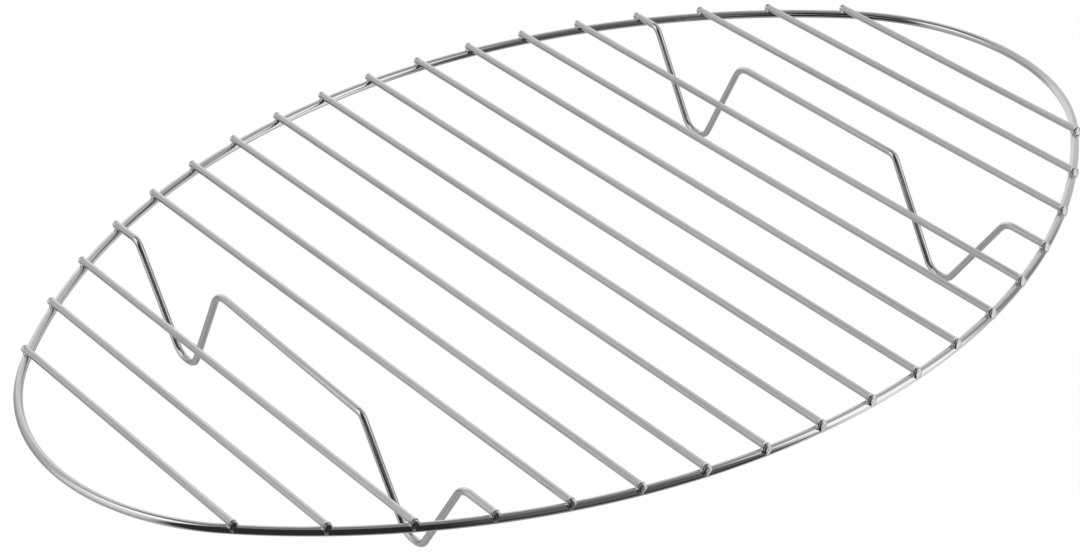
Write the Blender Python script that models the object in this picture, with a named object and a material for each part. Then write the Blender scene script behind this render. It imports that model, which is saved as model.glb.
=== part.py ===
"""Oval roasting rack of stainless steel wire.

One closed oval rim carries a row of straight cross wires, welded across the top of it. The fourth wire from
each end is a leg wire: it is bent down into two rounded feet, with a straight run between them that lies at
about the level of the cross wires. X runs along the rack, Y along the wires and Z up, and the four feet stand
on Z = 0.
"""

import math

import bmesh
import bpy
from mathutils import Matrix, Vector

# Driving dimensions, in metres
RACK_LENGTH = 0.3804
RACK_WIDTH = 0.2529
RIM_END_RADIUS = 0.0779
RIM_DIAMETER = 0.0028
CROSS_DIAMETER = 0.0023
LEG_DIAMETER = 0.0023
WIRE_SPACING = 0.01945
SMALLEST_END_GAP = 0.018
LEG_FROM_END = 4
FAR_OVERHANG = 0.0015
NEAR_OVERHANG = 0.0008
WELD_SET_DOWN = 0.0003
SEAT_GAP = 0.0003
END_CHAMFER = 0.0003

# Leg wires: how deep the feet reach, and how far apart the corners lie that the top bends round off. Followed
# from the far end, the bends that lead down to a foot are tight, and the ones that lead up from it are easy.
FOOT_DROP = 0.0330
FOOT_PAD = 0.0012
FOOT_BEND_RADIUS = 0.0059
TIGHT_BEND_RADIUS = 0.0035
EASY_BEND_RADIUS = 0.0070
OUTER_CORNER_FROM_RIM = 0.0136
FOOT_FROM_OUTER_CORNER = 0.0243
INNER_CORNER_FROM_FOOT = 0.0231
LEG_SLOPE = math.radians(60)

# How each leg wire strays from a symmetrical one: its outer bends and its feet lie further to the far side by
# the shifts, and the inner bends next to its far and near foot stand higher than the cross wires by the rises
LEFT_LEG = {"outer_shift": 0.0016, "foot_shift": 0.0024, "far_rise": 0.0029, "near_rise": -0.0006}
RIGHT_LEG = {"outer_shift": 0.0034, "foot_shift": 0.0063, "far_rise": 0.0026, "near_rise": 0.0021}

# Facets
WIRE_SIDES = 12
RIM_SIDES = 16
END_ARC_STEP = math.radians(5)
SIDE_ARC_STEP = math.radians(3)
BEND_STEP = math.radians(10)
SHARP_EDGE = math.radians(40)
CLOSING_GAP = 1e-6

# The rim's centre line is a four-centre oval: two end arcs joined by two flatter side arcs
HALF_LENGTH = (RACK_LENGTH - RIM_DIAMETER) / 2
HALF_WIDTH = (RACK_WIDTH - RIM_DIAMETER) / 2
END_CENTRE = HALF_LENGTH - RIM_END_RADIUS
WIDTH_LEFT = HALF_WIDTH - RIM_END_RADIUS
SIDE_CENTRE = (END_CENTRE**2 - WIDTH_LEFT**2) / (2 * WIDTH_LEFT)
SIDE_RADIUS = HALF_WIDTH + SIDE_CENTRE
JOIN_ANGLE = math.atan2(SIDE_CENTRE, END_CENTRE)

# Levels of the wires' centre lines, with the feet's flats on Z = 0
WIRE_LEVEL = FOOT_DROP + LEG_DIAMETER / 2 * math.cos(math.pi / WIRE_SIDES)
RIM_LEVEL = WIRE_LEVEL - (RIM_DIAMETER + CROSS_DIAMETER) / 2 + WELD_SET_DOWN

WIRE_COUNT = 1 + int((2 * HALF_LENGTH - 2 * SMALLEST_END_GAP) / WIRE_SPACING)


def clear_scene():
    for found in list(bpy.data.objects):
        bpy.data.objects.remove(found, do_unlink=True)


def steel(name, colour, roughness):
    """Bright stainless steel wire."""
    material = bpy.data.materials.new(name)
    material.use_nodes = True
    shader = material.node_tree.nodes["Principled BSDF"]
    shader.inputs["Base Color"].default_value = (*colour, 1)
    shader.inputs["Metallic"].default_value = 1
    shader.inputs["Roughness"].default_value = roughness
    material.diffuse_color = (*colour, 1)
    return material


def verts_in(geometry):
    return [item for item in geometry if isinstance(item, bmesh.types.BMVert)]


def edges_in(geometry):
    return [item for item in geometry if isinstance(item, bmesh.types.BMEdge)]


def wire_start(bm, diameter, sides, centre, heading):
    """The ring of edges that a wire starts from, square to its heading, with level flats on top."""
    turned = Matrix.Rotation(math.pi / sides, 4, "Z")
    upright = Vector(heading).to_track_quat("Z", "Y").to_matrix().to_4x4()
    place = Matrix.Translation(centre) @ upright @ turned
    ring = bmesh.ops.create_circle(bm, segments=sides, radius=diameter / 2, matrix=place)
    return list({edge for vert in ring["verts"] for edge in vert.link_edges})


def run_straight(bm, ring, travel):
    """Feeds the wire straight on by travel, and returns its new leading ring."""
    grown = bmesh.ops.extrude_edge_only(bm, edges=ring)["geom"]
    leading = set(verts_in(grown))
    bmesh.ops.translate(bm, verts=list(leading), vec=travel)
    return [edge for edge in edges_in(grown) if leading.issuperset(edge.verts)]


def bend(bm, ring, pin, axis, angle, step):
    """Bends the wire round a pin, and returns its new leading ring."""
    steps = max(1, math.ceil(abs(angle) / step))
    ends = list({vert for edge in ring for vert in edge.verts})
    swept = bmesh.ops.spin(bm, geom=ends + ring, cent=pin, axis=axis, angle=angle, steps=steps)
    return edges_in(swept["geom_last"])


def cut_end(bm, ring):
    """Closes a wire with a cut face and takes the sharp edge off it."""
    bmesh.ops.contextual_create(bm, geom=ring)
    bmesh.ops.bevel(
        bm, geom=ring, offset=END_CHAMFER, affect="EDGES", segments=1, profile=0.5, material=-1
    )


def finished(bm, name, material, place, parent):
    """Makes the object from its mesh, smooth round the wire and sharp at its cut ends."""
    bmesh.ops.recalc_face_normals(bm, faces=bm.faces)
    mesh = bpy.data.meshes.new(name)
    bm.to_mesh(mesh)
    bm.free()
    mesh.shade_smooth()
    mesh.set_sharp_from_angle(angle=SHARP_EDGE)
    mesh.materials.append(material)
    made = bpy.data.objects.new(name, mesh)
    made.location = place
    made.parent = parent
    bpy.context.scene.collection.objects.link(made)
    return made


def rim_reach(x):
    """How far the rim's centre line lies from the rack's long axis, at x along it."""
    past_centre = abs(x) - END_CENTRE
    if past_centre > RIM_END_RADIUS * math.cos(JOIN_ANGLE):
        return math.sqrt(RIM_END_RADIUS**2 - past_centre**2)
    return math.sqrt(SIDE_RADIUS**2 - x**2) - SIDE_CENTRE


def rim(name, diameter, material, parent):
    """The oval, bent in four arcs from the middle of its front side and closed on itself."""
    bm = bmesh.new()
    start = (0, -HALF_WIDTH, 0)
    ring = wire_start(bm, diameter, RIM_SIDES, start, (1, 0, 0))
    half_side = math.pi / 2 - JOIN_ANGLE
    arcs = (
        ((0, SIDE_CENTRE, 0), half_side, SIDE_ARC_STEP),
        ((END_CENTRE, 0, 0), 2 * JOIN_ANGLE, END_ARC_STEP),
        ((0, -SIDE_CENTRE, 0), 2 * half_side, SIDE_ARC_STEP),
        ((-END_CENTRE, 0, 0), 2 * JOIN_ANGLE, END_ARC_STEP),
        ((0, SIDE_CENTRE, 0), half_side, SIDE_ARC_STEP),
    )
    for centre, angle, step in arcs:
        ring = bend(bm, ring, centre, (0, 0, 1), angle, step)
    bmesh.ops.remove_doubles(bm, verts=bm.verts, dist=CLOSING_GAP)
    return finished(bm, name, material, (0, 0, RIM_LEVEL), parent)


def seat_on_rim(wire, rim_cutter):
    """Cuts the saddles in a wire where it is welded down onto the rim."""
    saddle = wire.modifiers.new("weld_saddles", "BOOLEAN")
    saddle.operation = "DIFFERENCE"
    saddle.solver = "EXACT"
    saddle.object = rim_cutter


def cross_wire(name, x, material, parent):
    bm = bmesh.new()
    far_end = Vector((0, rim_reach(x) + FAR_OVERHANG, 0))
    near_end = Vector((0, -rim_reach(x) - NEAR_OVERHANG, 0))
    first = wire_start(bm, CROSS_DIAMETER, WIRE_SIDES, far_end, (0, -1, 0))
    last = run_straight(bm, first, near_end - far_end)
    cut_end(bm, first)
    cut_end(bm, last)
    return finished(bm, name, material, (x, 0, WIRE_LEVEL), parent)


def set_back(radius):
    """How far from its corner a top bend of this radius starts, for a leg of the usual slope."""
    return radius * math.tan(LEG_SLOPE / 2)


def half_leg_pins(x, outer_shift, foot_shift, rise, outer_radius, inner_radius):
    """The pins that one foot is bent round, from the rim inwards: (centre in Y and Z, radius with its sign).

    A wire that turns left round its pin, seen from +X, has a positive radius.
    """
    outer_corner = rim_reach(x) - OUTER_CORNER_FROM_RIM
    foot = outer_corner - FOOT_FROM_OUTER_CORNER + foot_shift
    inner_corner = foot - INNER_CORNER_FROM_FOOT
    foot_pin_height = FOOT_BEND_RADIUS - FOOT_DROP
    outer_pin = Vector((outer_corner + set_back(outer_radius) + outer_shift, -outer_radius))
    inner_pin = Vector((inner_corner - set_back(inner_radius), rise - inner_radius))
    return [
        (outer_pin, outer_radius),
        (Vector((foot + FOOT_PAD / 2, foot_pin_height)), -FOOT_BEND_RADIUS),
        (Vector((foot - FOOT_PAD / 2, foot_pin_height)), -FOOT_BEND_RADIUS),
        (inner_pin, inner_radius),
    ]


def mirrored(pins):
    return [(Vector((-centre.x, centre.y)), radius) for centre, radius in reversed(pins)]


def run_between(first, second):
    """The straight run that touches two pins, as its heading and the points where it touches them."""
    (start, start_radius), (stop, stop_radius) = first, second
    reach = stop - start
    heading = math.atan2(reach.y, reach.x) - math.asin((stop_radius - start_radius) / reach.length)
    left = Vector((-math.sin(heading), math.cos(heading)))
    return heading, start - left * start_radius, stop - left * stop_radius


def leg_wire(name, x, leg, material, parent):
    bm = bmesh.new()
    far_end = (Vector((rim_reach(x) + FAR_OVERHANG, 0)), 0)
    near_end = (Vector((-rim_reach(x) - NEAR_OVERHANG, 0)), 0)
    far_foot = half_leg_pins(
        x, leg["outer_shift"], leg["foot_shift"], leg["far_rise"], TIGHT_BEND_RADIUS, EASY_BEND_RADIUS
    )
    near_foot = half_leg_pins(
        x, -leg["outer_shift"], -leg["foot_shift"], leg["near_rise"], EASY_BEND_RADIUS, TIGHT_BEND_RADIUS
    )
    pins = [far_end, *far_foot, *mirrored(near_foot), near_end]
    runs = [run_between(*pair) for pair in zip(pins, pins[1:])]
    first = wire_start(bm, LEG_DIAMETER, WIRE_SIDES, (0, far_end[0].x, 0), (0, -1, 0))
    ring = first
    for number, (heading, leaves, meets) in enumerate(runs):
        ring = run_straight(bm, ring, (0, *(meets - leaves)))
        if number + 1 < len(runs):
            turn = math.remainder(runs[number + 1][0] - heading, 2 * math.pi)
            ring = bend(bm, ring, (0, *pins[number + 1][0]), (1, 0, 0), turn, BEND_STEP)
    cut_end(bm, first)
    cut_end(bm, ring)
    return finished(bm, name, material, (x, 0, WIRE_LEVEL), parent)


def build_rack():
    clear_scene()
    rim_steel = steel("polished rim wire", (0.56, 0.56, 0.57), 0.18)
    cross_steel = steel("satin cross wire", (0.50, 0.50, 0.51), 0.30)
    leg_steel = steel("satin leg wire", (0.47, 0.47, 0.48), 0.28)

    rack = bpy.data.objects.new("roasting_rack", None)
    bpy.context.scene.collection.objects.link(rack)

    rim("rim_wire", RIM_DIAMETER, rim_steel, rack)
    rim_cutter = rim("rim_seat_cutter", RIM_DIAMETER + 2 * SEAT_GAP, rim_steel, rack)
    rim_cutter.hide_render = True
    rim_cutter.display_type = "WIRE"

    legs = {LEG_FROM_END: LEFT_LEG, WIRE_COUNT + 1 - LEG_FROM_END: RIGHT_LEG}
    for number in range(1, WIRE_COUNT + 1):
        x = (number - (WIRE_COUNT + 1) / 2) * WIRE_SPACING
        if number in legs:
            side = "left" if x < 0 else "right"
            wire = leg_wire(f"leg_wire_{side}", x, legs[number], leg_steel, rack)
        else:
            wire = cross_wire(f"cross_wire_{number:02d}", x, cross_steel, rack)
        seat_on_rim(wire, rim_cutter)


build_rack()
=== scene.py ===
"""The oval roasting rack of welded stainless steel wire, dressed for its studio picture.

Every CAD wire is replaced by the same wire drawn finely: round, with its drawing marks and its flattened or
blunt ends, and with the metal squeezed out where it is welded to the rim. All of it is polished bright.
X runs along the rack, Y along the wires, Z up, in metres. The four feet stand on Z = 0.
"""

import math

import bmesh
import bpy
from mathutils import Matrix, Vector, noise


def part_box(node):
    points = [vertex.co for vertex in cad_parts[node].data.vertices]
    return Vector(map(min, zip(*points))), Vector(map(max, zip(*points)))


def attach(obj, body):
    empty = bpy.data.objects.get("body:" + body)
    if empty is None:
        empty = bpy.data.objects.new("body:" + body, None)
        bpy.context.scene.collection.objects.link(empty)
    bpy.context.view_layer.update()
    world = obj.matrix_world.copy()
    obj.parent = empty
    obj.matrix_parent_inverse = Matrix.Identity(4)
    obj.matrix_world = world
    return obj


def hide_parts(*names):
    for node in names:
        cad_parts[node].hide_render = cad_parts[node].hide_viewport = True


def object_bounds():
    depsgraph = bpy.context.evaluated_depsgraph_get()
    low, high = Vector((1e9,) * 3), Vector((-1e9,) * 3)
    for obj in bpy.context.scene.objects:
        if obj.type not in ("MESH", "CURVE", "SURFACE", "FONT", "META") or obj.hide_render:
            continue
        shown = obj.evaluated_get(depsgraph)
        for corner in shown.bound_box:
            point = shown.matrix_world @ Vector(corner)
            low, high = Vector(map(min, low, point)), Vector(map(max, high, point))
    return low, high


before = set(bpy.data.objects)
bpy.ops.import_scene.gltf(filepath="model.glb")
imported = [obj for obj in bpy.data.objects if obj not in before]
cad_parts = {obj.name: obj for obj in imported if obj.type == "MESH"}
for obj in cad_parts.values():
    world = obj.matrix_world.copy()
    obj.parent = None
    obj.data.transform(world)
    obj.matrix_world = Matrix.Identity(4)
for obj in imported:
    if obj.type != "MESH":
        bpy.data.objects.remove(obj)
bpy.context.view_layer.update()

MM = 0.001

# Sizes of the wires and of the bends in the two leg wires
RIM_DIAMETER = 2.8 * MM
WIRE_DIAMETER = 2.3 * MM
RIM_END_RADIUS = 77.9 * MM
WELD_SET_DOWN = 0.3 * MM
FOOT_DROP = 33.0 * MM
FOOT_PAD = 1.2 * MM
FOOT_BEND_RADIUS = 5.9 * MM
TIGHT_BEND_RADIUS = 3.5 * MM
EASY_BEND_RADIUS = 7.0 * MM
OUTER_CORNER_FROM_RIM = 13.6 * MM
FOOT_FROM_OUTER_CORNER = 24.3 * MM
INNER_CORNER_FROM_FOOT = 23.1 * MM
LEG_SLOPE = math.radians(60)
LEFT_LEG = {"outer_shift": 1.6 * MM, "foot_shift": 2.4 * MM, "far_rise": 2.9 * MM, "near_rise": -0.6 * MM}
RIGHT_LEG = {"outer_shift": 3.4 * MM, "foot_shift": 6.3 * MM, "far_rise": 2.6 * MM, "near_rise": 2.1 * MM}

# How finely the wires are drawn
WIRE_SIDES = 28
RIM_SIDES = 36
BEND_STEP = math.radians(5)
RIM_STEP = 1.2 * MM
SHARP_EDGE = math.radians(50)
MERGE_WITHIN = 0.0005 * MM

# Levels and the oval, worked out from the frame
rim_low, rim_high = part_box("rim_wire")
HALF_LENGTH = (rim_high.x - rim_low.x - RIM_DIAMETER) / 2
HALF_WIDTH = (rim_high.y - rim_low.y - RIM_DIAMETER) / 2
RIM_LEVEL = (rim_low.z + rim_high.z) / 2
WIRE_LEVEL = RIM_LEVEL + (RIM_DIAMETER + WIRE_DIAMETER) / 2 - WELD_SET_DOWN
END_CENTRE = HALF_LENGTH - RIM_END_RADIUS
WIDTH_LEFT = HALF_WIDTH - RIM_END_RADIUS
SIDE_CENTRE = (END_CENTRE**2 - WIDTH_LEFT**2) / (2 * WIDTH_LEFT)
SIDE_RADIUS = HALF_WIDTH + SIDE_CENTRE
JOIN_ANGLE = math.atan2(SIDE_CENTRE, END_CENTRE)
RIM_JOINT_ANGLE = math.radians(38)


def linear(hex_colour):
    """An sRGB hex colour as linear RGBA."""
    parts = [int(hex_colour[start : start + 2], 16) / 255 for start in (1, 3, 5)]
    return (*(part / 12.92 if part <= 0.04045 else ((part + 0.055) / 1.055) ** 2.4 for part in parts), 1)


def add(tree, kind, inputs=None, stops=None, **settings):
    """Adds a node with its settings: an input given a socket is linked, one given a value is set."""
    node = tree.nodes.new("ShaderNode" + kind)
    for name, value in settings.items():
        setattr(node, name, value)
    for name, value in (inputs or {}).items():
        if isinstance(value, bpy.types.NodeSocket):
            tree.links.new(value, node.inputs[name])
        else:
            node.inputs[name].default_value = value
    for position, _ in (stops or [])[1:-1]:
        node.color_ramp.elements.new(position)
    for number, (position, colour) in enumerate(stops or []):
        element = node.color_ramp.elements[number]
        element.position, element.color = position, linear(colour)
    return node


# Wire forming

def verts_of(ring):
    """The vertices of a ring of edges."""
    return list({vert for edge in ring for vert in edge.verts})


def start_wire(bm, diameter, sides, centre, heading):
    """The ring that a wire starts from. Each vertex keeps its place on the wire as it was when straight."""
    place = bm.verts.layers.float_vector.get("wire_place") or bm.verts.layers.float_vector.new("wire_place")
    made = bmesh.ops.create_circle(bm, segments=sides, radius=diameter / 2)["verts"]
    for vert in made:
        vert[place] = vert.co
    upright = Vector(heading).to_track_quat("Z", "Y").to_matrix().to_4x4()
    bmesh.ops.transform(bm, matrix=Matrix.Translation(centre) @ upright, verts=made)
    return list({edge for vert in made for edge in vert.link_edges})


def fed_on(bm, ring, by):
    """Notes that this ring lies further along the wire than the one it was drawn from."""
    place = bm.verts.layers.float_vector["wire_place"]
    for vert in verts_of(ring):
        vert[place] = vert[place] + Vector((0, 0, by))
    return ring


def feed(bm, ring, travel):
    """Feeds the wire straight on by travel and returns its new leading ring."""
    grown = bmesh.ops.extrude_edge_only(bm, edges=ring)["geom"]
    leading = {item for item in grown if isinstance(item, bmesh.types.BMVert)}
    bmesh.ops.translate(bm, verts=list(leading), vec=travel)
    new = [item for item in grown if isinstance(item, bmesh.types.BMEdge) and leading.issuperset(item.verts)]
    return fed_on(bm, new, Vector(travel).length)


def bend(bm, ring, pin, axis, angle, radius, step):
    """Bends the wire round a pin, a small step at a time, and returns its new leading ring."""
    steps = max(1, math.ceil(abs(angle) / step))
    for _ in range(steps):
        swept = bmesh.ops.spin(
            bm, geom=verts_of(ring) + ring, cent=pin, axis=axis, angle=angle / steps, steps=1
        )
        ring = [item for item in swept["geom_last"] if isinstance(item, bmesh.types.BMEdge)]
        fed_on(bm, ring, radius * abs(angle) / steps)
    return ring


def shape_end(bm, ring, heading, profile):
    """Shapes a wire's end: each (advance, girth) gives one more ring, and the last is closed with a face."""
    girth = 1.0
    for advance, wanted in profile:
        if advance:
            ring = feed(bm, ring, Vector(heading) * advance)
        verts = verts_of(ring)
        centre = sum((vert.co for vert in verts), Vector()) / len(verts)
        bmesh.ops.scale(
            bm, verts=verts, vec=Vector((1, 1, 1)) * (wanted / girth), space=Matrix.Translation(-centre)
        )
        girth = wanted
    bmesh.ops.contextual_create(bm, geom=ring)


# (advance, girth) of a far end, tumbled blunt, and of a near end, swollen and flattened by the welder's stop
BLUNT_END = [
    (0.0, 1.0), (0.40 * MM, 1.02), (0.35 * MM, 1.08), (0.25 * MM, 1.12), (0.16 * MM, 1.09), (0.14 * MM, 0.99),
    (0.10 * MM, 0.84), (0.06 * MM, 0.66), (0.02 * MM, 0.38),
]
FLATTENED_END = [
    (0.0, 1.0), (0.45 * MM, 1.04), (0.35 * MM, 1.13), (0.20 * MM, 1.20), (0.10 * MM, 1.19), (0.05 * MM, 1.13),
    (0.02 * MM, 1.03), (0.005 * MM, 0.90), (0.0, 0.45),
]


def end_length(profile):
    """How far a shaped end reaches past the ring that it starts from."""
    return sum(advance for advance, _ in profile)


FAR_TIP = end_length(BLUNT_END)
NEAR_TIP = end_length(FLATTENED_END)


def rim_reach(x):
    """How far the middle of the rim wire lies from the rack's long axis, at x along it."""
    past_centre = abs(x) - END_CENTRE
    if past_centre > RIM_END_RADIUS * math.cos(JOIN_ANGLE):
        return math.sqrt(RIM_END_RADIUS**2 - past_centre**2)
    return math.sqrt(SIDE_RADIUS**2 - x**2) - SIDE_CENTRE


wire_boxes = {node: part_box(node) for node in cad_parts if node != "rim_wire"}
wire_xs = {node: (low.x + high.x) / 2 for node, (low, high) in wire_boxes.items()}
CONTACT_LEVEL = RIM_LEVEL + (RIM_DIAMETER - WELD_SET_DOWN) / 2


def finished(bm, name, material, replaced=None):
    """Makes the piece from its bmesh, in place of the CAD wire that it replaces if there is one."""
    bmesh.ops.remove_doubles(bm, verts=bm.verts, dist=MERGE_WITHIN)
    bmesh.ops.recalc_face_normals(bm, faces=bm.faces)
    mesh = bpy.data.meshes.new(name)
    bm.to_mesh(mesh)
    bm.free()
    mesh.shade_smooth()
    mesh.set_sharp_from_angle(angle=SHARP_EDGE)
    mesh.materials.append(material)
    piece = bpy.data.objects.new(name, mesh)
    bpy.context.scene.collection.objects.link(piece)
    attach(piece, "root")
    if replaced:
        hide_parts(replaced)


# Materials

def steel(name, pattern_of, tones, gloss, relief):
    """Polished steel whose pattern shows in its tone, its gloss and its relief.

    tones are (value of the pattern, colour). gloss is the two values of the pattern between which the
    roughness changes, and the roughness at each.
    """
    material = bpy.data.materials.new(name)
    material.use_nodes = True
    tree = material.node_tree
    shader = tree.nodes["Principled BSDF"]
    pattern = pattern_of(tree)
    tone = add(tree, "ValToRGB", {"Fac": pattern}, tones).outputs["Color"]
    span = dict(zip(("From Min", "From Max", "To Min", "To Max"), gloss))
    roughness = add(tree, "MapRange", {"Value": pattern, **span}).outputs["Result"]
    normal = add(tree, "Bump", {"Height": pattern, "Strength": 1.0, "Distance": relief}).outputs["Normal"]
    for socket, value in (("Base Color", tone), ("Roughness", roughness), ("Normal", normal)):
        tree.links.new(value, shader.inputs[socket])
    shader.inputs["Metallic"].default_value = 1.0
    return material


# The real die marks are about 0.05 mm wide, and are drawn coarser so that they show.
MARK_WIDTH = 0.34 * MM
WELD_RIPPLE = 0.45 * MM


def die_marks(tree, mark_length):
    """The lengthwise marks that the drawing die leaves, laid out along the wire as it was when straight."""
    place = add(tree, "Attribute", attribute_name="wire_place").outputs["Vector"]
    scale = (1 / MARK_WIDTH, 1 / MARK_WIDTH, 1 / mark_length)
    drawn = add(tree, "Mapping", {"Vector": place, "Scale": scale}).outputs["Vector"]
    return add(tree, "TexNoise", {"Vector": drawn, "Scale": 1.0, "Detail": 2.0}).outputs["Fac"]


def weld_ripples(tree):
    """The uneven skin of metal squeezed out of a weld."""
    place = add(tree, "TexCoord").outputs["Object"]
    return add(tree, "TexNoise", {"Vector": place, "Scale": 1 / WELD_RIPPLE, "Detail": 2.0}).outputs["Fac"]


# Stainless steel wire, drawn and electropolished: soft reflections broken up by fine lengthwise lines.
satin_wire = steel(
    "electropolished drawn steel",
    lambda tree: die_marks(tree, 45 * MM),
    tones=[(0.32, "#bcbcbb"), (0.68, "#dadad9")],
    gloss=(0.3, 0.7, 0.17, 0.09),
    relief=0.0012 * MM,
)

# The rim is the same steel, drawn brighter: near-mirror reflections with a few long marks.
bright_wire = steel(
    "bright drawn steel",
    lambda tree: die_marks(tree, 60 * MM),
    tones=[(0.32, "#c6c6c5"), (0.68, "#d4d4d3")],
    gloss=(0.3, 0.7, 0.12, 0.07),
    relief=0.001 * MM,
)

# Metal squeezed out of a resistance weld, electropolished with the rack: a bright, slightly rippled bead.
polished_weld = steel(
    "electropolished weld metal",
    weld_ripples,
    tones=[(0.35, "#b4b4b3"), (0.65, "#d2d2d1")],
    gloss=(0.35, 0.65, 0.20, 0.11),
    relief=0.004 * MM,
)


# The rim wire: the bend starts and ends at its butt joint, on the far side of the right end

def rim():
    """The closed oval rim, bent in five arcs round four centres and closed at its butt joint."""
    bm = bmesh.new()
    outward = Vector((math.cos(RIM_JOINT_ANGLE), math.sin(RIM_JOINT_ANGLE), 0))
    start = Vector((END_CENTRE, 0, 0)) + outward * RIM_END_RADIUS
    ring = start_wire(bm, RIM_DIAMETER, RIM_SIDES, start, (-outward.y, outward.x, 0))
    half_side = math.pi / 2 - JOIN_ANGLE
    arcs = [
        (END_CENTRE, 0, RIM_END_RADIUS, JOIN_ANGLE - RIM_JOINT_ANGLE),
        (0, -SIDE_CENTRE, SIDE_RADIUS, 2 * half_side),
        (-END_CENTRE, 0, RIM_END_RADIUS, 2 * JOIN_ANGLE),
        (0, SIDE_CENTRE, SIDE_RADIUS, 2 * half_side),
        (END_CENTRE, 0, RIM_END_RADIUS, JOIN_ANGLE + RIM_JOINT_ANGLE),
    ]
    for centre_x, centre_y, radius, angle in arcs:
        ring = bend(bm, ring, (centre_x, centre_y, 0), (0, 0, 1), angle, radius, RIM_STEP / radius)
    bmesh.ops.translate(bm, verts=bm.verts, vec=(0, 0, RIM_LEVEL))
    finished(bm, "rim_wire_bright", bright_wire, "rim_wire")


def cross_wire(node):
    """A straight wire, from its blunt far end to its flattened near end."""
    low, high = wire_boxes[node]
    bm = bmesh.new()
    start = (wire_xs[node], high.y - FAR_TIP, WIRE_LEVEL)
    ring = start_wire(bm, WIRE_DIAMETER, WIRE_SIDES, start, (0, -1, 0))
    far_ring = list(ring)
    ring = feed(bm, ring, Vector((0, low.y + NEAR_TIP - high.y + FAR_TIP, 0)))
    shape_end(bm, far_ring, (0, 1, 0), BLUNT_END)
    shape_end(bm, ring, (0, -1, 0), FLATTENED_END)
    finished(bm, node + "_satin", satin_wire, node)


def set_back(radius):
    """How far from its corner a top bend of this radius starts, for a leg of the usual slope."""
    return radius * math.tan(LEG_SLOPE / 2)


def half_leg_pins(x, outer_shift, foot_shift, rise, outer_radius, inner_radius):
    """(centre, radius) of the pins that half a leg wire is bent round, from its end inwards.

    A centre is its place across the rack and its height over the level of the cross wires.
    """
    outer_corner = rim_reach(x) - OUTER_CORNER_FROM_RIM
    foot = outer_corner - FOOT_FROM_OUTER_CORNER + foot_shift
    inner_corner = foot - INNER_CORNER_FROM_FOOT
    foot_pin_height = FOOT_BEND_RADIUS - FOOT_DROP
    return [
        (Vector((outer_corner + set_back(outer_radius) + outer_shift, -outer_radius)), outer_radius),
        (Vector((foot + FOOT_PAD / 2, foot_pin_height)), -FOOT_BEND_RADIUS),
        (Vector((foot - FOOT_PAD / 2, foot_pin_height)), -FOOT_BEND_RADIUS),
        (Vector((inner_corner - set_back(inner_radius), rise - inner_radius)), inner_radius),
    ]


def mirrored(pins):
    """The same pins for the near half of a leg wire, in the order in which the wire meets them."""
    return [(Vector((-centre.x, centre.y)), radius) for centre, radius in reversed(pins)]


def run_between(first, second):
    """The straight run between two pins, as its heading and the points where it touches them."""
    (start, start_radius), (stop, stop_radius) = first, second
    reach = stop - start
    heading = math.atan2(reach.y, reach.x) - math.asin((stop_radius - start_radius) / reach.length)
    left = Vector((-math.sin(heading), math.cos(heading)))
    return heading, start - left * start_radius, stop - left * stop_radius


def leg_wire(node, outer_shift, foot_shift, far_rise, near_rise):
    """A wire bent down into two feet, with a straight run between them and an end on the rim at each side."""
    low, high = wire_boxes[node]
    x = wire_xs[node]
    far_pins = half_leg_pins(x, outer_shift, foot_shift, far_rise, TIGHT_BEND_RADIUS, EASY_BEND_RADIUS)
    near_pins = half_leg_pins(x, -outer_shift, -foot_shift, near_rise, EASY_BEND_RADIUS, TIGHT_BEND_RADIUS)
    far_end = (Vector((high.y - FAR_TIP, 0)), 0)
    near_end = (Vector((low.y + NEAR_TIP, 0)), 0)
    pins = [far_end, *far_pins, *mirrored(near_pins), near_end]
    bm = bmesh.new()
    ring = start_wire(bm, WIRE_DIAMETER, WIRE_SIDES, (0, high.y - FAR_TIP, 0), (0, -1, 0))
    far_ring = list(ring)
    runs = [run_between(first, second) for first, second in zip(pins, pins[1:])]
    for number, (heading, leaves, meets) in enumerate(runs):
        ring = feed(bm, ring, Vector((0, *(meets - leaves))))
        if number < len(runs) - 1:
            pin, radius = pins[number + 1]
            angle = math.remainder(runs[number + 1][0] - heading, 2 * math.pi)
            ring = bend(bm, ring, (0, *pin), (1, 0, 0), angle, abs(radius), BEND_STEP)
    shape_end(bm, far_ring, (0, 1, 0), BLUNT_END)
    shape_end(bm, ring, (0, -1, 0), FLATTENED_END)
    bmesh.ops.translate(bm, verts=bm.verts, vec=(x, 0, WIRE_LEVEL))
    finished(bm, node + "_satin", satin_wire, node)


# Half sizes of the metal squeezed out between the rim and a wire, across and along the wire and upright
WELD_BEAD = Vector((1.36 * MM, 1.15 * MM, 0.75 * MM))
# The flat head that the welder's stop makes of a wire's near end and of the metal pushed out under it, down
# over the rim: its width and height, its place from the rim wire's middle, outwards and up, and its rings
# from back to front, as (advance, girth)
HEAD_WIDTH = 3.0 * MM
HEAD_HEIGHT = 3.8 * MM
HEAD_PLACE = (1.50 * MM, 1.52 * MM)
HEAD_SIDES = 24
HEAD_SHAPE = [
    (0.0, 0.74), (0.30 * MM, 0.84), (0.35 * MM, 0.96), (0.16 * MM, 1.0), (0.08 * MM, 0.99), (0.04 * MM, 0.96),
    (0.01 * MM, 0.93), (0.0, 0.88), (0.0, 0.45),
]
# How close together the swellings of weld metal lie, and how far they swell
BEAD_SWELLING = (1.6, 0.14)
HEAD_SWELLING = (1.3, 0.12)
# How far each seed shifts the noise, and the seed of the first head, past those of the beads
SEED_SHIFT = (7.3, 2.1)
FIRST_HEAD = 40


def swollen(place, swelling, seed):
    """What uneven weld metal is stretched by at a place, a little over or under 1."""
    closeness, amount = swelling
    shift = Vector((seed * SEED_SHIFT[0], seed * SEED_SHIFT[1], 0))
    return 1 + amount * noise.noise(place * closeness + shift)


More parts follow.
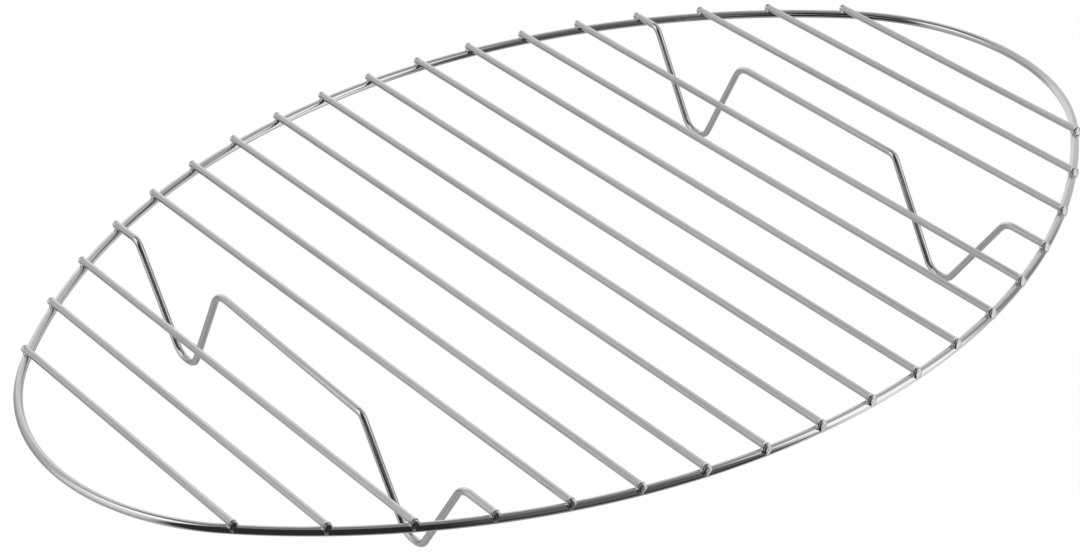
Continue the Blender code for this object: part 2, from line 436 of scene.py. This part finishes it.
def bead(bm, half_sizes, seed):
    """One uneven bead of weld metal at the origin; the seed gives it a shape of its own."""
    made = bmesh.ops.create_icosphere(bm, subdivisions=3, radius=1.0)["verts"]
    for vert in made:
        vert.co *= swollen(vert.co, BEAD_SWELLING, seed)
    bmesh.ops.scale(bm, verts=made, vec=half_sizes)
    return made


def flat_head(bm, seed):
    """One uneven flat head of weld metal that faces -Y, with the middle of its face at the origin."""
    ring = start_wire(bm, HEAD_WIDTH, HEAD_SIDES, (0, end_length(HEAD_SHAPE), 0), (0, -1, 0))
    back = list(ring)
    others = set(bm.verts).difference(verts_of(ring))
    shape_end(bm, ring, (0, -1, 0), HEAD_SHAPE)
    bmesh.ops.contextual_create(bm, geom=back)
    made = [vert for vert in bm.verts if vert not in others]
    for vert in made:
        swell = swollen(vert.co / HEAD_WIDTH, HEAD_SWELLING, seed)
        vert.co.x *= swell
        vert.co.z *= swell * HEAD_HEIGHT / HEAD_WIDTH
    return made


def welds(name, side):
    """The welds along one side of the rim. On the near side each also has the wire's flat head."""
    bm = bmesh.new()
    for number, x in enumerate(wire_xs.values()):
        squeezed = bead(bm, WELD_BEAD, number + side)
        bmesh.ops.translate(bm, verts=squeezed, vec=(x, side * rim_reach(x), CONTACT_LEVEL))
        if side < 0:
            head = flat_head(bm, number + FIRST_HEAD)
            outwards, upwards = HEAD_PLACE
            bmesh.ops.translate(bm, verts=head, vec=(x, -rim_reach(x) - outwards, RIM_LEVEL + upwards))
    finished(bm, name, polished_weld)


rim()
for node in wire_boxes:
    if node.startswith("cross_wire"):
        cross_wire(node)
leg_wire("leg_wire_left", **LEFT_LEG)
leg_wire("leg_wire_right", **RIGHT_LEG)
welds("welds_far", 1)
welds("welds_near", -1)


# Camera, at the photograph's viewing angle, solved from the parallel wires and the oval

CAMERA_PLACE = Vector((-0.517332, -0.670695, 0.562806))
CAMERA_FORWARD = Vector((0.5045906, 0.6727594, -0.5410943))
CAMERA_ROLL = math.radians(-1.952)
CAMERA_LENS = 106.06  # in mm, on a sensor 36 mm wide

camera = bpy.data.objects.new("camera", bpy.data.cameras.new("camera"))
camera.data.sensor_width = 36.0
camera.data.lens = CAMERA_LENS
bpy.context.scene.collection.objects.link(camera)
facing = CAMERA_FORWARD.to_track_quat("-Z", "Y").to_matrix().to_4x4()
camera.matrix_world = Matrix.Translation(CAMERA_PLACE) @ facing @ Matrix.Rotation(CAMERA_ROLL, 4, "Z")
bpy.context.scene.camera = camera


# Stage and light

def stage_piece(name, bm, material):
    """A floor or a tent, which is no part of the rack."""
    mesh = bpy.data.meshes.new(name)
    bm.to_mesh(mesh)
    bm.free()
    mesh.materials.append(material)
    piece = bpy.data.objects.new(name, mesh)
    bpy.context.scene.collection.objects.link(piece)
    return piece


def background_rays(tree):
    """1 on camera, glossy and transmission rays.

    Only the camera's count here: the tent below takes the place of the floor and the world in reflections.
    """
    path = add(tree, "LightPath").outputs
    first_two = {0: path["Is Camera Ray"], 1: path["Is Glossy Ray"]}
    either = add(tree, "Math", first_two, operation="MAXIMUM").outputs[0]
    return add(tree, "Math", {0: either, 1: path["Is Transmission Ray"]}, operation="MAXIMUM").outputs[0]


WHITE = "#ffffff"
FLOOR_HALF_SIZE = 6.0
FLOOR_GLOW = 0.98  # the rest of the floor is matt, and takes the rack's shadow
WORLD_LIGHT = 0.75

floor_paint = bpy.data.materials.new("pale studio floor")
floor_paint.use_nodes = True
tree = floor_paint.node_tree
tree.nodes.clear()
matt = add(tree, "BsdfDiffuse", {"Color": linear("#f6f6f6")}).outputs[0]
glow = add(tree, "Emission", {"Color": linear(WHITE), "Strength": 1.0}).outputs[0]
share = add(tree, "Math", {0: background_rays(tree), 1: FLOOR_GLOW}, operation="MULTIPLY").outputs[0]
add(tree, "OutputMaterial", {"Surface": add(tree, "MixShader", {0: share, 1: matt, 2: glow}).outputs[0]})
bm = bmesh.new()
floor_level = Matrix.Translation((0, 0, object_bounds()[0].z))
bmesh.ops.create_grid(bm, x_segments=1, y_segments=1, size=FLOOR_HALF_SIZE, matrix=floor_level)
floor = stage_piece("floor", bm, floor_paint)

# A glowing tent all round the rack, also under it, that only the steel's reflections see: its colours are
# painted reflections. In them it takes the place of the white floor and the world. It is dark behind the
# camera and painted with soft-edged panels of grey and white, which glow at twice their own brightness, so
# the palest are brighter than white. Azimuths are degrees from +Y towards +X, and run on from the tent's seam
# behind the camera.
SEAM_AZIMUTH = -130
TENT_RADIUS = 0.95
TENT_GLOW = 2.0

reflection_tent_glow = bpy.data.materials.new("glowing tent of painted reflections")
reflection_tent_glow.use_nodes = True
reflection_tent_glow.cycles.emission_sampling = "NONE"
tree = reflection_tent_glow.node_tree
tree.nodes.clear()
spot = add(tree, "TexCoord").outputs["Object"]
turned = add(
    tree, "Mapping", {"Vector": spot, "Rotation": (0, 0, math.radians(180 + SEAM_AZIMUTH))}
).outputs["Vector"]
apart = add(tree, "SeparateXYZ", {"Vector": turned}).outputs
round_seam = add(tree, "Math", {0: apart["X"], 1: apart["Y"]}, operation="ARCTAN2").outputs[0]
azimuth_seen = add(
    tree, "Math", {0: round_seam, 1: math.degrees(1), 2: 180 + SEAM_AZIMUTH}, operation="MULTIPLY_ADD"
).outputs[0]
height = add(tree, "Math", {0: apart["Z"], 1: TENT_RADIUS}, operation="DIVIDE").outputs[0]
raised = add(tree, "Math", {0: height}, operation="ARCSINE").outputs[0]
elevation_seen = add(tree, "Math", {0: raised, 1: math.degrees(1)}, operation="MULTIPLY").outputs[0]


def between(angle, low, high, fade):
    """1 where the angle is between low and high, with an edge of fade degrees to either side of each."""
    rising, falling = (
        add(
            tree, "MapRange", {"Value": angle, "From Min": edge - fade, "From Max": edge + fade},
            interpolation_type="SMOOTHSTEP",
        ).outputs["Result"]
        for edge in (low, high)
    )
    return add(tree, "Math", {0: rising, 1: falling}, operation="SUBTRACT").outputs[0]


def paint_panel(painted_reflection, grey, azimuths, elevations, fade):
    """The tent's painted reflection so far, with one more glowing panel painted over it."""
    across = between(azimuth_seen, *azimuths, fade)
    upright = between(elevation_seen, *elevations, fade)
    cover = add(tree, "Math", {0: across, 1: upright}, operation="MULTIPLY").outputs[0]
    return add(tree, "Mix", {0: cover, 6: painted_reflection, 7: linear(grey)}, data_type="RGBA").outputs[2]


ALL_ROUND = (-200, 260)
# Each panel below is a painted reflection of what its comment names, laid over a dark base towards the
# camera.
painted_reflection = add(tree, "RGB").outputs[0]
painted_reflection.default_value = linear("#242424")
painted_reflection = paint_panel(painted_reflection, "#4e4e4e", (163, 207), (-12, 64), 7)  # dim cloth on the right of the dark
painted_reflection = paint_panel(painted_reflection, "#626262", (154, 207), (-66, -41), 6)  # and lower down
# The table panels are the floor as the steel's reflections show it: painted shade, grey where the floor
# itself renders white, darkest under the rack.
painted_reflection = paint_panel(painted_reflection, "#828282", ALL_ROUND, (-130, -60), 8)  # table under the rack
painted_reflection = paint_panel(painted_reflection, "#6c6c6c", ALL_ROUND, (64, 130), 8)  # ceiling
painted_reflection = paint_panel(painted_reflection, "#8c8c8c", (-95, 118), (-70, -20), 8)  # table beyond the rack
painted_reflection = paint_panel(painted_reflection, "#9a9a9a", (-96, 118), (-24, 57), 6)  # grey back cloth
painted_reflection = paint_panel(painted_reflection, "#8c8c8c", (48, 156), (50, 66), 7)  # its upper end on the right
painted_reflection = paint_panel(painted_reflection, "#7e7e7e", (-46, -10), (-27, 8), 7)  # darker cloth low on the left of it
painted_reflection = paint_panel(painted_reflection, "#a8a8a8", (-8, 88), (-16, 44), 8)  # lighter cloth on the right of it
painted_reflection = paint_panel(painted_reflection, "#c0c0c0", (-4, 46), (-24, 36), 8)  # and lighter still
painted_reflection = paint_panel(painted_reflection, "#727272", (96, 118), (-24, 42), 7)  # dark gap beside it
painted_reflection = paint_panel(painted_reflection, "#b4b4b4", (72, 118), (-52, -20), 6)  # table on the right
# Painted reflection of the right softbox, which the steel doesn't see itself: a glowing white panel near its
# direction, and its lower part.
painted_reflection = paint_panel(painted_reflection, "#dadada", (122, 159), (-12, 52), 8)  # white panel on the right
painted_reflection = paint_panel(painted_reflection, "#cccccc", (120, 147), (-54, -10), 6)  # and its lower part
# Painted reflection of the left softbox, which the steel doesn't see itself: a glowing panel near its
# direction, greyer in its lower part.
painted_reflection = paint_panel(painted_reflection, "#b8b8b8", (-94, -52), (-6, 34), 7)  # lower, greyer part of the soft lamp on the left
painted_reflection = paint_panel(painted_reflection, "#e2e2e2", (-94, -50), (30, 61), 6)  # soft lamp on the left
# The tent glows with its painted reflections; no lamp lights it.
reflection_glow = add(tree, "Emission", {"Color": painted_reflection, "Strength": TENT_GLOW}).outputs[0]
add(tree, "OutputMaterial", {"Surface": reflection_glow})
bm = bmesh.new()
bmesh.ops.create_uvsphere(bm, u_segments=96, v_segments=48, radius=TENT_RADIUS)
tent = stage_piece("tent", bm, reflection_tent_glow)
tent.visible_camera = tent.visible_diffuse = tent.visible_shadow = tent.visible_transmission = False
floor.visible_glossy = False


def softbox(name, azimuth, elevation, distance, width, height, brightness):
    """A soft lamp that faces the rack from an azimuth, measured from +Y towards +X, and an elevation."""
    lamp = bpy.data.lights.new(name, "AREA")
    lamp.shape = "RECTANGLE"
    lamp.size, lamp.size_y = width, height
    lamp.energy = brightness * math.pi * width * height
    holder = bpy.data.objects.new(name, lamp)
    bpy.context.scene.collection.objects.link(holder)
    sideways, upwards = math.radians(azimuth), math.radians(elevation)
    level = math.cos(upwards)
    away = Vector((math.sin(sideways) * level, math.cos(sideways) * level, math.sin(upwards)))
    facing = (-away).to_track_quat("-Z", "Y").to_matrix().to_4x4()
    holder.matrix_world = Matrix.Translation(away * distance) @ facing
    holder.visible_camera = False
    # The steel sees the tent's painted reflections of these lamps in place of the lamps.
    holder.visible_glossy = False


softbox("softbox_left", -72, 45, 1.2, 0.9, 0.9, 1.6)
softbox("softbox_right", 138, 25, 1.2, 0.8, 1.0, 1.5)

world = bpy.data.worlds.new("studio")
bpy.context.scene.world = world
world.use_nodes = True
tree = world.node_tree
tree.nodes.clear()
levels = {"Value": background_rays(tree), "To Min": WORLD_LIGHT, "To Max": 1.0}
strength = add(tree, "MapRange", levels).outputs["Result"]
glow = add(tree, "Background", {"Color": linear(WHITE), "Strength": strength}).outputs[0]
add(tree, "OutputWorld", {"Surface": glow})

bpy.context.scene.view_settings.view_transform = "Standard"
